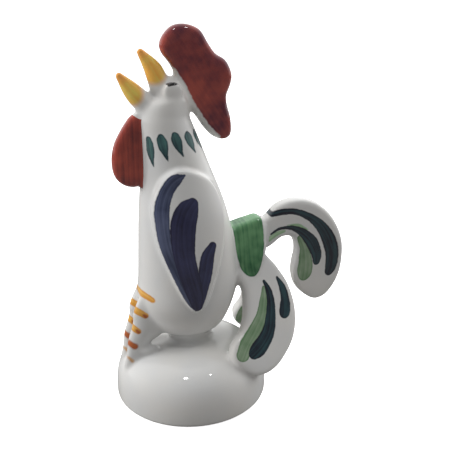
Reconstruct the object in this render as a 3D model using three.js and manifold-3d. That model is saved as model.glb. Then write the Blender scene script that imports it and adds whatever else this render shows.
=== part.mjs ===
// Porcelain rooster figurine: a crowing rooster that stands on a round, hollow mound.
// Millimetres, +Z up. The rooster faces -X and its left side faces -Y.
// It is drawn with the crest of the mound at height 0, and moved onto the table at the end.

import * as THREE from "three";
import { mergeVertices } from "three/addons/utils/BufferGeometryUtils.js";
import Module from "manifold-3d";

const wasm = await Module();
wasm.setup();

// Luting seam left between two pieces that touch
const seam = 0.3;

// Mound
const moundRadius = 46;
const moundHeight = 35.5;
const moundWall = 4.5;
const moundSquareness = 3.1;
const footRound = 1.5;
const footRingWidth = 4;
const footRingHeight = 3;
const pourHoleRadius = 9;

// Body and neck: oval levels from the underside to the rim that carries the head. Each has its
// rise above the level before it, its place along X and its half length along X.
const underside = { rise: 0.3, place: 0, reach: 13 };
const rump = { rise: 10.7, place: -1.9, reach: 22.2 };
const belly = { rise: 16, place: -2.2, reach: 29 };
const chest = { rise: 16, place: -0.4, reach: 29.9 };
const shoulder = { rise: 38, place: -3, reach: 25.5 };
const neck = { rise: 29, place: -7.3, reach: 19 };
const throat = { rise: 26, place: -12.7, reach: 14.3 };
const bodyFlatness = 0.88;
const bodyWall = 4;

// Head: oval levels with their rise above the neck rim and their shift back from its middle
const jaw = { rise: 8, shift: 1.5, reach: 12.6, depth: 11.5 };
const cheek = { rise: 11.5, shift: 3.8, reach: 9.2, depth: 10.4 };
const brow = { rise: 17, shift: 4.1, reach: 6.4, depth: 7.8 };
const crown = { rise: 21.5, shift: 3.8, reach: 1.8, depth: 2.4 };

// Beak halves: half thickness at the mouth, halfway and at the tip
const beakRoot = 6.1;
const beakMiddle = 4.9;
const beakTip = 2;
const beakFlatness = 0.95;
const upperBeakArch = 1.2;
const lowerBeakArch = -0.3;

// Eye pads
const eyeLength = 10.5;
const eyeTall = 9;
const eyeRelief = 2.6;

// Comb and wattle: thick lobes in the middle plane
const combSize = { width: 39.6, tall: 63.2 };
const combThickness = 9.5;
const wattleSize = { width: 24.3, tall: 41.6 };
const wattleThickness = 8.5;

// Wings: shields that stand proud of the body
const wingSize = { width: 41.1, tall: 81.6 };
const wingRelief = 3.2;

// Legs side by side, and the toes that lie on the mound. The foot is set in from the mound's
// edge, and the hip is set into the front of the belly.
const legSpacing = 11.6;
const footInset = 10.8;
const footSink = 4;
const hipRise = 15;
const hipDepth = 12.6;
const legHalfWidth = 11.8;
const frontToeRadius = 3.8;
const hindToeRadius = 3.3;

// Tail: the lower pair splays apart and turns in towards the back, to straddle the mound.
// The right one is narrower, parts a little further forward and hangs further back.
const collarSize = { width: 27.7, tall: 35.8 };
const collarThickness = 12.5;
const collarFootThickness = 25;
const upperPlumeSize = { width: 59.3, tall: 68.2 };
const upperPlumeThickness = 10.5;
const lowerPlumeSize = { width: 47.8, tall: 76.9 };
const lowerPlumeThickness = 9.5;
const lowerPlumeSplay = 22;
const lowerPlumeTwist = 11.5;
const rightPlumeSwing = 16;
const rightPlumeWidth = 0.8;
const rightPlumeForward = 4;

// Rounding of the edges of the flat pieces
const edgeRound = 3;

// How finely the curves are drawn
const ovalSides = 32;
const limbSides = 16;
const outlineSteps = 36;
const edgeSteps = 3;
const domeSteps = 10;

const finishes = {
  white: { color: "#e9e8e4", roughness: 0.12 },
  red: { color: "#8e3a30", roughness: 0.14 },
  yellow: { color: "#d9a53a", roughness: 0.14 },
  green: { color: "#4f8a50", roughness: 0.14 },
  navy: { color: "#34376a", roughness: 0.14 },
  slate: { color: "#7d8a93", roughness: 0.13 },
};

const rooster = new THREE.Group();

// Joining and cutting of closed meshes

function toSolid(geometry) {
  const bare = geometry.clone();
  bare.deleteAttribute("normal");
  bare.deleteAttribute("uv");
  const merged = mergeVertices(bare, 1e-4);
  return new wasm.Manifold(new wasm.Mesh({
    numProp: 3,
    vertProperties: new Float32Array(merged.attributes.position.array),
    triVerts: new Uint32Array(merged.index.array),
  }));
}

function cut(solid, ...tools) {
  return tools.reduce((rest, tool) => rest.subtract(tool), solid);
}

function addPiece(name, solid, finish) {
  const { vertProperties, triVerts } = solid.getMesh();
  const geometry = new THREE.BufferGeometry();
  geometry.setAttribute("position", new THREE.BufferAttribute(vertProperties, 3));
  geometry.setIndex(new THREE.BufferAttribute(triVerts, 1));
  geometry.computeVertexNormals();
  const { color, roughness } = finishes[finish];
  const material = new THREE.MeshStandardMaterial({ color, roughness, metalness: 0 });
  const piece = new THREE.Mesh(geometry, material);
  piece.name = name;
  rooster.add(piece);
}

// Shapes shared by the pieces

// A closed skin over a row of oval rings, each with a middle and two half axes
function ovalSkin(rings, sides) {
  const positions = [...rings[0].middle.toArray()];
  for (const { middle, along, across } of rings) {
    for (let side = 0; side < sides; side += 1) {
      const turn = (2 * Math.PI * side) / sides;
      const point = middle.clone();
      point.addScaledVector(along, Math.cos(turn));
      point.addScaledVector(across, Math.sin(turn));
      positions.push(...point.toArray());
    }
  }
  positions.push(...rings.at(-1).middle.toArray());
  const endPole = positions.length / 3 - 1;
  const corner = (ring, side) => 1 + ring * sides + (side % sides);
  const faces = [];
  for (let side = 0; side < sides; side += 1) {
    faces.push(0, corner(0, side + 1), corner(0, side));
    for (let ring = 1; ring < rings.length; ring += 1) {
      const [lower, lowerNext] = [corner(ring - 1, side), corner(ring - 1, side + 1)];
      const [upper, upperNext] = [corner(ring, side), corner(ring, side + 1)];
      faces.push(lower, lowerNext, upperNext, lower, upperNext, upper);
    }
    faces.push(corner(rings.length - 1, side), corner(rings.length - 1, side + 1), endPole);
  }
  const geometry = new THREE.BufferGeometry();
  geometry.setAttribute("position", new THREE.Float32BufferAttribute(positions, 3));
  geometry.setIndex(faces);
  return toSolid(geometry);
}

function level(height, place, reach, depth) {
  return {
    middle: new THREE.Vector3(place, 0, height),
    along: new THREE.Vector3(reach, 0, 0),
    across: new THREE.Vector3(0, depth, 0),
  };
}

// A tapered limb in the XZ plane through [x, height, half width] stations, with round ends
function limb(stations, depthOf, { grow = 0, steps = 10, sides = limbSides } = {}) {
  const knots = stations.map((station) => new THREE.Vector3(...station));
  const line = new THREE.CatmullRomCurve3(knots, false, "centripetal");
  const rings = [];
  const addRing = (share, ahead = 0) => {
    const { x, y: height, z: halfWidth } = line.getPoint(share);
    const heading = line.getTangent(share);
    const tangent = new THREE.Vector3(heading.x, 0, heading.y).normalize();
    const width = (halfWidth + grow) * Math.cos(ahead);
    const middle = new THREE.Vector3(x, 0, height);
    middle.addScaledVector(tangent, (halfWidth + grow) * Math.sin(ahead));
    rings.push({
      middle,
      along: new THREE.Vector3(tangent.z, 0, -tangent.x).multiplyScalar(width),
      across: new THREE.Vector3(0, (depthOf(halfWidth) + grow) * Math.cos(ahead), 0),
    });
  };
  const capTurns = [75, 50, 25].map(THREE.MathUtils.degToRad);
  capTurns.forEach((turn) => addRing(0, -turn));
  for (let step = 0; step <= steps; step += 1) addRing(step / steps);
  capTurns.reverse().forEach((turn) => addRing(1, turn));
  return ovalSkin(rings, sides);
}

// A closed smooth outline through hand-set [x, height] points, anticlockwise. They are counted
// from the place on the body that carries the piece, and drawn out to the piece's own size.
function outline(points, size, from = { place: 0, height: 0 }) {
  const steps = outlineSteps;
  const span = (values) => Math.max(...values) - Math.min(...values);
  const across = size.width / span(points.map(([x]) => x));
  const up = size.tall / span(points.map(([, height]) => height));
  const corners = points.map(
    ([x, height]) => new THREE.Vector3(from.place + across * x, from.height + up * height, 0),
  );
  const curve = new THREE.CatmullRomCurve3(corners, true, "centripetal");
  const drawn = curve.getPoints(steps).slice(0, steps).map(({ x, y }) => new THREE.Vector2(x, y));
  const bent = drawn.filter((point, index) => {
    const toBefore = drawn.at(index - 1).clone().sub(point);
    const toAfter = drawn[(index + 1) % steps].clone().sub(point);
    return Math.abs(toBefore.cross(toAfter)) > 1e-3;
  });
  return THREE.ShapeUtils.isClockWise(bent) ? bent.reverse() : bent;
}

// At each outline point, its outward normal and how far it may move in before the edge folds
function outlineEdges(points) {
  const count = points.length;
  const edges = points.map((point, index) => {
    const before = points[(index + count - 1) % count];
    const after = points[(index + 1) % count];
    const chord = after.clone().sub(before);
    const turn = point.clone().sub(before).cross(after.clone().sub(point));
    const sides = point.distanceTo(before) * point.distanceTo(after) * chord.length();
    const bendRadius = turn > 0 ? sides / (2 * turn) : Infinity;
    return { point, normal: new THREE.Vector2(chord.y, -chord.x).normalize(), bendRadius };
  });
  for (const edge of edges) {
    edge.room = Math.min(
      ...edges.map(({ point, bendRadius }) => 0.7 * bendRadius + 0.4 * point.distanceTo(edge.point)),
    );
  }
  return edges;
}

// A slab with round edges that stands on the middle plane. It may widen towards its foot.
function slab(points, thickness, { grow = 0, widening = () => 1, place = new THREE.Matrix4() } = {}) {
  const edges = outlineEdges(points);
  const round = Math.min(edgeRound, thickness * 0.45);
  const positions = [];
  const addRing = (turn, side) => {
    const depth = side * (thickness / 2 - round + (round + grow) * Math.sin(turn));
    for (const { point, normal, room } of edges) {
      const inset = Math.min(round, room) * (1 - Math.cos(turn)) - grow * Math.cos(turn);
      const moved = point.clone().addScaledVector(normal, -inset);
      positions.push(moved.x, depth * widening(moved.y), moved.y);
    }
  };
  const turns = Array.from({ length: edgeSteps + 1 }, (_, step) => ((step / edgeSteps) * Math.PI) / 2);
  turns.toReversed().forEach((turn) => addRing(turn, 1));
  turns.forEach((turn) => addRing(turn, -1));
  const count = points.length;
  const ringCount = 2 * turns.length;
  const faces = [];
  for (let ring = 1; ring < ringCount; ring += 1) {
    for (let index = 0; index < count; index += 1) {
      const next = (index + 1) % count;
      const [far, farNext] = [(ring - 1) * count + index, (ring - 1) * count + next];
      const [near, nearNext] = [ring * count + index, ring * count + next];
      faces.push(far, nearNext, near, far, farNext, nearNext);
    }
  }
  const lastRing = (ringCount - 1) * count;
  for (const [a, b, c] of THREE.ShapeUtils.triangulateShape(points, [])) {
    faces.push(a, c, b);
    faces.push(lastRing + a, lastRing + b, lastRing + c);
  }
  const geometry = new THREE.BufferGeometry();
  geometry.setAttribute("position", new THREE.Float32BufferAttribute(positions, 3));
  geometry.setIndex(faces);
  geometry.applyMatrix4(place);
  return toSolid(geometry);
}

// The height of each body level above the crest of the mound
const bodyLevels = [underside, rump, belly, chest, shoulder, neck, throat];
bodyLevels.forEach((bodyLevel, index) => {
  bodyLevel.height = bodyLevel.rise + (index > 0 ? bodyLevels[index - 1].height : 0);
});

// Mound: a squat dome on a foot ring, hollow and open underneath

function domeProfile(radius, bottom, top) {
  const steps = domeSteps;
  const profile = [];
  for (let step = 0; step < steps; step += 1) {
    const rise = Math.sin((step / steps) * (Math.PI / 2));
    const reach = radius * (1 - rise ** moundSquareness) ** (1 / moundSquareness);
    profile.push(new THREE.Vector2(reach, bottom + (top - bottom) * rise));
  }
  profile.push(new THREE.Vector2(0, top));
  return profile;
}

function turned(profile) {
  return toSolid(new THREE.LatheGeometry(profile, ovalSides + 8).rotateX(Math.PI / 2));
}

function moundSolid(grow = 0) {
  return turned([
    new THREE.Vector2(0, -moundHeight - grow),
    new THREE.Vector2(moundRadius - footRound + grow, -moundHeight - grow),
    ...domeProfile(moundRadius + grow, footRound - moundHeight - grow, grow),
  ]);
}

function pourHole() {
  const profile = [
    new THREE.Vector2(0, -2 * moundWall),
    new THREE.Vector2(pourHoleRadius, -2 * moundWall),
    new THREE.Vector2(pourHoleRadius, underside.height + 2 * bodyWall),
    new THREE.Vector2(0, underside.height + 2 * bodyWall),
  ];
  return turned(profile);
}

function moundHollow() {
  const below = -moundHeight - 1;
  const entry = moundRadius - footRound - footRingWidth;
  const bottom = footRingHeight - moundHeight;
  return turned([
    new THREE.Vector2(0, below),
    new THREE.Vector2(entry, below),
    new THREE.Vector2(entry, bottom - 0.5),
    ...domeProfile(moundRadius - moundWall, bottom, -moundWall),
  ]);
}

addPiece("base_mound", cut(moundSolid(), moundHollow(), pourHole()), "white");

// Torso: body and neck in one shell, open at the pour hole and at the neck rim

const bodyCurve = new THREE.CatmullRomCurve3(
  bodyLevels.map(({ height, place, reach }) => new THREE.Vector3(place, reach, height)),
  false,
  "centripetal",
);

function bodySolid(grow = 0, steps = 16) {
  const rings = [];
  for (let step = 0; step <= steps; step += 1) {
    const { x: place, y: reach, z: height } = bodyCurve.getPoint(step / steps);
    rings.push(level(height, place, reach + grow, reach * bodyFlatness + grow));
  }
  return ovalSkin(rings, ovalSides);
}

function bodyHollow() {
  const rings = [];
  const steps = 9;
  for (let step = 1; step <= steps; step += 1) {
    const { x: place, y: reach, z: height } = bodyCurve.getPoint(step / steps);
    rings.push(level(height, place, reach - bodyWall, reach * bodyFlatness - bodyWall));
  }
  const rim = rings.at(-1);
  rings.push({ ...rim, middle: rim.middle.clone().setZ(throat.height + bodyWall) });
  return ovalSkin(rings, ovalSides);
}

addPiece("torso", cut(bodySolid(), bodyHollow(), pourHole(), moundSolid(seam)), "white");

// Head: closes the neck and narrows to the crown

const neckRim = { place: throat.place, height: throat.height };
const neckLevel = { rise: seam, shift: 0, reach: throat.reach, depth: throat.reach * bodyFlatness };
const headLevels = [neckLevel, jaw, cheek, brow, crown];

function headSolid(grow = 0) {
  const points = headLevels.map(({ rise, reach, depth }) => new THREE.Vector3(reach, depth, rise));
  const widths = new THREE.CatmullRomCurve3(points, false, "centripetal");
  const places = new THREE.CatmullRomCurve3(
    headLevels.map(({ shift, rise, reach }) => new THREE.Vector3(shift, reach, rise)),
    false,
    "centripetal",
  );
  const steps = 8;
  const rings = [];
  for (let step = 0; step <= steps; step += 1) {
    const { x: reach, y: depth, z: rise } = widths.getPoint(step / steps);
    const { x: shift } = places.getPoint(step / steps);
    const height = neckRim.height + rise + grow * ((2 * step) / steps - 1);
    rings.push(level(height, neckRim.place + shift, reach + grow, depth + grow));
  }
  return ovalSkin(rings, ovalSides);
}

addPiece("head", cut(headSolid(), bodySolid(seam)), "white");

// Beak: two curved, blunt cones that open from the corner of the mouth

const upperBeakLine = { root: [-0.7, 14.9], tip: [-11.2, 34.6] };
const lowerBeakLine = { root: [-9.1, 6.6], tip: [-23, 22.8] };

function beakSolid({ root, tip }, arch, grow) {
  const middle = [(root[0] + tip[0]) / 2 + arch, (root[1] + tip[1]) / 2 + arch / 2];
  const fromRim = ([x, height], halfWidth) => [neckRim.place + x, neckRim.height + height, halfWidth];
  const stations = [
    fromRim(root, beakRoot),
    fromRim(middle, beakMiddle),
    fromRim(tip, beakTip),
  ];
  return limb(stations, (halfWidth) => halfWidth * beakFlatness, { grow });
}

function upperBeakSolid(grow = 0) {
  return beakSolid(upperBeakLine, upperBeakArch, grow);
}

function lowerBeakSolid(grow = 0) {
  return beakSolid(lowerBeakLine, lowerBeakArch, grow);
}

addPiece("beak_upper", cut(upperBeakSolid(), headSolid(seam)), "yellow");
const lowerBeak = cut(lowerBeakSolid(), headSolid(seam), bodySolid(seam), upperBeakSolid(seam));
addPiece("beak_lower", lowerBeak, "yellow");

// Comb: lobes that rise from the brow and hang down behind the nape

const combOutline = outline([
  [6.5, 22.3], [3.6, 28.7], [-0.4, 34], [-1, 39.5], [5.1, 47.2], [12.4, 48.5], [20.6, 45.4],
  [25.1, 38.5], [29.4, 32.6], [35, 29], [38.6, 21], [37.7, 15.5], [35.3, 9], [38.1, -4.2], [37.8, -12.4],
  [33.8, -14.7], [27.4, -12.4], [22.5, -7.3], [17, 0.5], [10.4, 6], [4.4, 14],
], combSize, neckRim);

function combSolid(grow = 0) {
  return slab(combOutline, combThickness, { grow });
}

addPiece("comb", cut(combSolid(), headSolid(seam), bodySolid(seam), upperBeakSolid(seam)), "red");

// Wattle: a flat round lobe under the lower beak, against the throat

const wattleOutline = outline([
  [-14.3, 3.4], [-17.8, 2], [-20.9, -1.7], [-24.5, -7], [-27.8, -13.4], [-29.6, -22], [-29, -29.4],
  [-26.5, -34.2], [-22.2, -37.2], [-17.3, -38.2], [-11.8, -36.5], [-7.3, -30], [-5.3, -18], [-6.3, -5],
  [-9.8, 2],
], wattleSize, neckRim);
const wattle = cut(
  slab(wattleOutline, wattleThickness),
  bodySolid(seam),
  headSolid(seam),
  lowerBeakSolid(seam),
);
addPiece("wattle", wattle, "red");

// Eyes: low oval pads on both cheeks

const eyePlace = { shift: 3.5, rise: 15.2, spread: 8 };

function eyeSolid(side) {
  const pad = new THREE.SphereGeometry(1, limbSides, limbSides / 2);
  pad.scale(eyeLength / 2, eyeRelief, eyeTall / 2);
  const { shift, rise, spread } = eyePlace;
  pad.translate(neckRim.place + shift, side * spread, neckRim.height + rise);
  return cut(toSolid(pad), headSolid(seam), combSolid(seam));
}

// Wings: shield-shaped panels laid over the shoulders

const wingOutline = outline([
  [-7.1, 29.8], [0, 28.6], [5.8, 26.1], [11.4, 22.3], [16.5, 14.3], [18.9, 6.7], [19.5, -4.9],
  [16.3, -18.4], [10.2, -35.4], [4.2, -49.4], [-0.5, -51.8], [-6.1, -44.8], [-13.5, -29.1],
  [-19.2, -13.6], [-21.6, 1.7], [-21.2, 9.4], [-18.9, 17.4], [-15.1, 24.6],
], wingSize, shoulder);

function wingSolid(side) {
  const reach = chest.reach + wingRelief;
  const shield = new THREE.Shape(wingOutline);
  const panel = new THREE.ExtrudeGeometry(shield, { depth: reach, bevelEnabled: false });
  panel.rotateX(Math.PI / 2);
  if (side > 0) panel.translate(0, reach, 0);
  return cut(toSolid(panel).intersect(bodySolid(wingRelief)), bodySolid(seam));
}

// Legs: thick feathered columns that lean back into the body, cut to fit it and the mound

const hip = { place: belly.place - belly.reach + hipDepth, height: belly.height + hipRise };
const foot = { place: footInset - moundRadius, height: -footSink };

// Stations from hip to foot: share of the way up, and the bow to the back and the half width as
// shares of the leg's widest half width
const legStations = [
  [1, 0, 0.61], [0.85, 0.05, 0.78], [0.66, 0.13, 0.95], [0.45, 0.22, 1], [0.28, 0.15, 0.81],
  [0.16, 0.08, 0.7], [0, 0, 0.51],
];

function legSolid(side, grow = 0) {
  const way = new THREE.Vector2(hip.place - foot.place, hip.height - foot.height);
  const back = new THREE.Vector2(way.y, -way.x).normalize();
  const line = legStations.map(([share, bow, width]) => {
    const place = foot.place + share * way.x + bow * legHalfWidth * back.x;
    const height = foot.height + share * way.y + bow * legHalfWidth * back.y;
    return [place, height, width * legHalfWidth];
  });
  const sideRoom = (legSpacing - seam) / 2;
  const depthOf = (halfWidth) => sideRoom * Math.sqrt(halfWidth / legHalfWidth);
  const leg = limb(line, depthOf, { grow, sides: limbSides + 6 });
  return leg.translate([0, (side * legSpacing) / 2, 0]);
}

// Toes: one to the front and one to the back of each foot, lying on the mound. Each station has
// its place from the foot and its half width, all counted in the toe's radius.

const frontToeLine = [[-0.2, 0.65, 1], [-0.9, -0.8, 0.85], [-1.3, -2.2, 0.6]];
const hindToeLine = [[1.5, 1.7, 0.85], [3, 1.8, 1], [4.2, 1.6, 0.85]];

function toeSolid(line, radius, side, grow = 0) {
  const stations = line.map(([x, rise, halfWidth]) => [
    foot.place + x * radius,
    foot.height + rise * radius,
    halfWidth * radius,
  ]);
  const toe = limb(stations, (halfWidth) => halfWidth, { grow, steps: 6, sides: 14 });
  return toe.translate([0, (side * legSpacing) / 2, 0]);
}

// Tail collar: a thick band behind the body that holds the plumes

const tailRoot = { place: chest.place + chest.reach, height: chest.height };
const collarOutline = outline([
  [-10.5, 22.4], [-1.5, 26.8], [7.1, 29], [13.8, 30.2], [16.4, 27.3], [17.2, 22.4], [17, 15.5], [15.6, 8],
  [12.5, 0.3], [8.5, -5.6], [4, -4.7], [0, -0.2], [-7.5, 7],
], collarSize, tailRoot);
const collarTop = Math.max(...collarOutline.map(({ y: height }) => height));
const collarFoot = Math.min(...collarOutline.map(({ y: height }) => height));

function collarSolid(grow = 0) {
  const spread = collarFootThickness / collarThickness - 1;
  const widening = (height) => 1 + (spread * (collarTop - height)) / (collarTop - collarFoot);
  return slab(collarOutline, collarThickness, { grow, widening });
}

// The room that the collar takes between the plumes and to both sides of them
function collarRoom() {
  return slab(collarOutline, 2 * moundRadius, { grow: seam });
}

addPiece("tail_collar", cut(collarSolid(), bodySolid(seam)), "green");

// Upper plume: one sickle feather in the middle plane

const upperPlumeOutline = outline([
  [10.7, 22.2], [12.7, 26.7], [18.7, 29.2], [24, 34.7], [31, 37.7], [39.8, 38.3], [49.2, 35.5],
  [58.3, 28.5], [64.5, 20], [68.9, 9.4], [70, -0.8], [68.6, -12.8], [64.5, -22.1], [58.4, -28.5],
  [51.9, -29.9], [45.6, -26.4], [39.7, -20.2], [36.9, -11.8], [37, -3.8], [38.5, 4.2], [37.3, 11.2],
  [33.6, 15.2], [28.3, 15.4], [20.5, 10.2], [12.7, 8.2],
], upperPlumeSize, tailRoot);

function upperPlumeSolid(grow = 0) {
  return slab(upperPlumeOutline, upperPlumeThickness, { grow });
}

addPiece("tail_plume_upper", cut(upperPlumeSolid(), collarSolid(seam), bodySolid(seam)), "slate");

// Lower plumes: a pair that parts under the collar and comes down on both sides of the mound.
// Their outline is drawn on the slope, from the point where the two part.

const parting = { place: tailRoot.place + 15.2, depth: 0.5, height: tailRoot.height + 12 };
const lowerPlumePoints = [
  [-7, 0], [-2, -2.6], [2.6, -9.3], [7.2, -16.3], [12.3, -27], [14.3, -39.2], [13.3, -50.3], [8.9, -60.8],
  [2.2, -68.4], [-6.3, -74.6], [-15.2, -76.9], [-23.3, -75.4], [-29.7, -70.4], [-33.4, -63.9],
  [-33.5, -57.9], [-30.5, -53.3], [-25, -48.7], [-20.8, -41.8], [-18.6, -33.3], [-17.8, -25.4], [-20.5, -16], [-17, -5],
];

function lowerPlumeSolid(side, grow = 0) {
  const width = side > 0 ? rightPlumeWidth : 1;
  const forward = side > 0 ? rightPlumeForward : 0;
  const shape = outline(lowerPlumePoints, { ...lowerPlumeSize, width: lowerPlumeSize.width * width });
  const splay = THREE.MathUtils.degToRad(lowerPlumeSplay);
  const twist = THREE.MathUtils.degToRad(lowerPlumeTwist);
  const swing = side > 0 ? THREE.MathUtils.degToRad(rightPlumeSwing) : 0;
  const partingPoint = [parting.place - forward, side * parting.depth, parting.height];
  const place = new THREE.Matrix4().makeTranslation(...partingPoint);
  place.multiply(new THREE.Matrix4().makeRotationZ(-side * twist));
  place.multiply(new THREE.Matrix4().makeRotationX(side * splay));
  place.multiply(new THREE.Matrix4().makeRotationY(-swing));
  return slab(shape, lowerPlumeThickness, { grow, place }).subtract(otherHalf(side));
}

// Everything on the far side of the middle plane
function otherHalf(side) {
  const size = 4 * moundRadius;
  const block = new THREE.BoxGeometry(size, size, size + throat.height);
  block.translate(0, (-side * (size - seam)) / 2, 0);
  return toSolid(block);
}

// The paired pieces, left and right

for (const [suffix, side] of [["left", -1], ["right", 1]]) {
  addPiece(`eye_${suffix}`, eyeSolid(side), "white");
  addPiece(`wing_${suffix}`, wingSolid(side), "navy");
  const restingOn = [bodySolid(seam), moundSolid(seam)];
  addPiece(`leg_${suffix}`, cut(legSolid(side), ...restingOn), "white");
  const frontToe = toeSolid(frontToeLine, frontToeRadius, side);
  addPiece(`toe_front_${suffix}`, cut(frontToe, legSolid(side, seam), ...restingOn), "white");
  const hindToe = toeSolid(hindToeLine, hindToeRadius, side);
  addPiece(`toe_hind_${suffix}`, cut(hindToe, legSolid(side, seam), ...restingOn), "white");
  const plume = cut(lowerPlumeSolid(side), ...restingOn, collarRoom(), upperPlumeSolid(seam));
  addPiece(`tail_plume_lower_${suffix}`, plume, "slate");
}

// Stand the figurine on the table, with the middle of its footprint box at the origin
const reach = new THREE.Box3().setFromObject(rooster);
rooster.position.set(-(reach.min.x + reach.max.x) / 2, 0, moundHeight);

export default rooster;
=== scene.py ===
# Porcelain rooster figurine: slip-cast pieces luted together, painted by brush and glazed.
# Metres in Blender. Sizes below are in millimetres, counted from the crest of the mound on
# the mound's own axis, with X towards the tail, Y towards the right side and height upwards.

import math

import bpy
import numpy as np
from mathutils import Matrix, Vector
from mathutils.bvhtree import BVHTree


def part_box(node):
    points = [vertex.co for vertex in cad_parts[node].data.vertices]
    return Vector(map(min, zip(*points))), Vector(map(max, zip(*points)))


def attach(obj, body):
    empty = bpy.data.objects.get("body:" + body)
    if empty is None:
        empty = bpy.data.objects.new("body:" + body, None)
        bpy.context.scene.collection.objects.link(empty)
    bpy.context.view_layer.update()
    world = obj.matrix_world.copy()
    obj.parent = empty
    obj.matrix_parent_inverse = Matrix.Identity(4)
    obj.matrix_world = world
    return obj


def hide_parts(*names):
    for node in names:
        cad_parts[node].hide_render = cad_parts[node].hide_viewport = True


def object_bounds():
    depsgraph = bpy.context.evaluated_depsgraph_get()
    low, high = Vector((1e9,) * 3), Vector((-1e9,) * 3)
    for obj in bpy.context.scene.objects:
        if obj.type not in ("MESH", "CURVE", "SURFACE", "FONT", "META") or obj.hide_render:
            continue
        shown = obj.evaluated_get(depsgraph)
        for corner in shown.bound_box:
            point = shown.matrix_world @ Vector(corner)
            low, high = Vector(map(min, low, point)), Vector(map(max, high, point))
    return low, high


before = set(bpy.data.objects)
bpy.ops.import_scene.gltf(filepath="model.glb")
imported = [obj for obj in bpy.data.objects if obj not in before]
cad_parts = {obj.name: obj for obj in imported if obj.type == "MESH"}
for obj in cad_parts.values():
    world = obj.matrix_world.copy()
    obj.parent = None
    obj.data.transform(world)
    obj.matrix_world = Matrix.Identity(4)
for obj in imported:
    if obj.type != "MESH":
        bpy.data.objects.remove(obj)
cad_box = [list(corner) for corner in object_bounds()]
bpy.ops.object.select_all(action="DESELECT")

# The mound's axis and crest, from which every piece is placed
mound_height = 35.5
mound_low, mound_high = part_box("base_mound")
crest = (mound_low + mound_high) / 2
crest.z = mound_low.z + mound_height / 1000


def place(x, y, height):
    return crest + Vector((x, y, height)) / 1000


# Camera
# It looks down at the rooster's left side from a little in front, at arm's length.

camera_distance = 380
camera_height = 214.36
camera_azimuth = math.radians(15)
camera_pan = math.radians(3.216)
camera_tilt = math.radians(20.602)
sensor_width = 36
lens_length = 55.93
camera_place = place(
    -camera_distance * math.sin(camera_azimuth),
    -camera_distance * math.cos(camera_azimuth),
    camera_height,
)
bpy.ops.object.camera_add(
    location=camera_place,
    rotation=(math.pi / 2 - camera_tilt, 0, -camera_azimuth - camera_pan),
)
camera = bpy.context.object
camera.data.sensor_width = sensor_width
camera.data.lens = lens_length
bpy.context.scene.camera = camera


# Floor and light
# A plain white table in a white room. Soft lamps stand before, behind and above the rooster,
# and the side that faces the camera gets less light, so that the glaze shows bright rims.


def linear(hex_colour):
    """An sRGB hex colour as linear RGBA."""
    channels = [int(hex_colour[i : i + 2], 16) / 255 for i in (1, 3, 5)]
    return [c / 12.92 if c <= 0.04045 else ((c + 0.055) / 1.055) ** 2.4 for c in channels] + [1]


def add_node(tree, kind, inputs=None, **settings):
    """Adds a node with its settings. An input is a value, or the output socket to link."""
    node = tree.nodes.new(kind)
    for name, value in settings.items():
        setattr(node, name, value)
    for name, value in (inputs or {}).items():
        socket = node.inputs[name]
        if isinstance(value, bpy.types.NodeSocket):
            tree.links.new(value, socket)
        else:
            socket.default_value = value
    return node


def new_material(name):
    material = bpy.data.materials.new(name)
    material.use_nodes = True
    material.node_tree.nodes.clear()
    return material, material.node_tree


floor_metres = 6
bpy.ops.mesh.primitive_plane_add(size=floor_metres, location=(0, 0, 0))
floor = bpy.context.object
floor.name = "table_top"
floor_material, tree = new_material("matt_white_table")
# The camera sees it lit up to white around the shadow; the glaze mirrors a dimmer table
rays = add_node(tree, "ShaderNodeLightPath")
matt = add_node(tree, "ShaderNodeBsdfDiffuse", {"Color": linear("#e6e6e6")})
lifted = add_node(tree, "ShaderNodeEmission", {"Color": linear("#ffffff"), "Strength": 0.9})
seen_table = add_node(tree, "ShaderNodeAddShader", {0: matt.outputs[0], 1: lifted.outputs[0]})
dim_table = add_node(tree, "ShaderNodeBsdfDiffuse", {"Color": linear("#8c8a88")})
table = add_node(
    tree,
    "ShaderNodeMixShader",
    {0: rays.outputs["Is Camera Ray"], 1: dim_table.outputs[0], 2: seen_table.outputs[0]},
)
add_node(tree, "ShaderNodeOutputMaterial", {"Surface": table.outputs[0]})
floor.data.materials.append(floor_material)

world = bpy.data.worlds.new("white_room")
bpy.context.scene.world = world
world.use_nodes = True
tree = world.node_tree
tree.nodes.clear()
rays = add_node(tree, "ShaderNodeLightPath")
# The room is dim behind the camera and bright beyond the rooster, where the windows are. The
# camera itself sees plain white.
dim_level = 0.25
bright_level = 1.15
dim_until = -0.5
bright_from = 0.3
way_to_windows = (0.27, 0.96, 0)
direction = add_node(tree, "ShaderNodeTexCoord")
towards_windows = add_node(
    tree,
    "ShaderNodeVectorMath",
    {0: direction.outputs["Generated"], 1: way_to_windows},
    operation="DOT_PRODUCT",
)
room_light = add_node(
    tree,
    "ShaderNodeMapRange",
    {
        "Value": towards_windows.outputs["Value"],
        "From Min": dim_until,
        "From Max": bright_from,
        "To Min": dim_level,
        "To Max": bright_level,
    },
    interpolation_type="SMOOTHSTEP",
)
backdrop = add_node(
    tree,
    "ShaderNodeMath",
    {0: room_light.outputs[0], 1: rays.outputs["Is Camera Ray"]},
    operation="MAXIMUM",
)
room = add_node(
    tree,
    "ShaderNodeBackground",
    {"Color": linear("#ffffff"), "Strength": backdrop.outputs[0]},
)
add_node(tree, "ShaderNodeOutputWorld", {"Surface": room.outputs[0]})

bpy.context.scene.view_settings.view_transform = "Standard"

lit_height = 70


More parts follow.
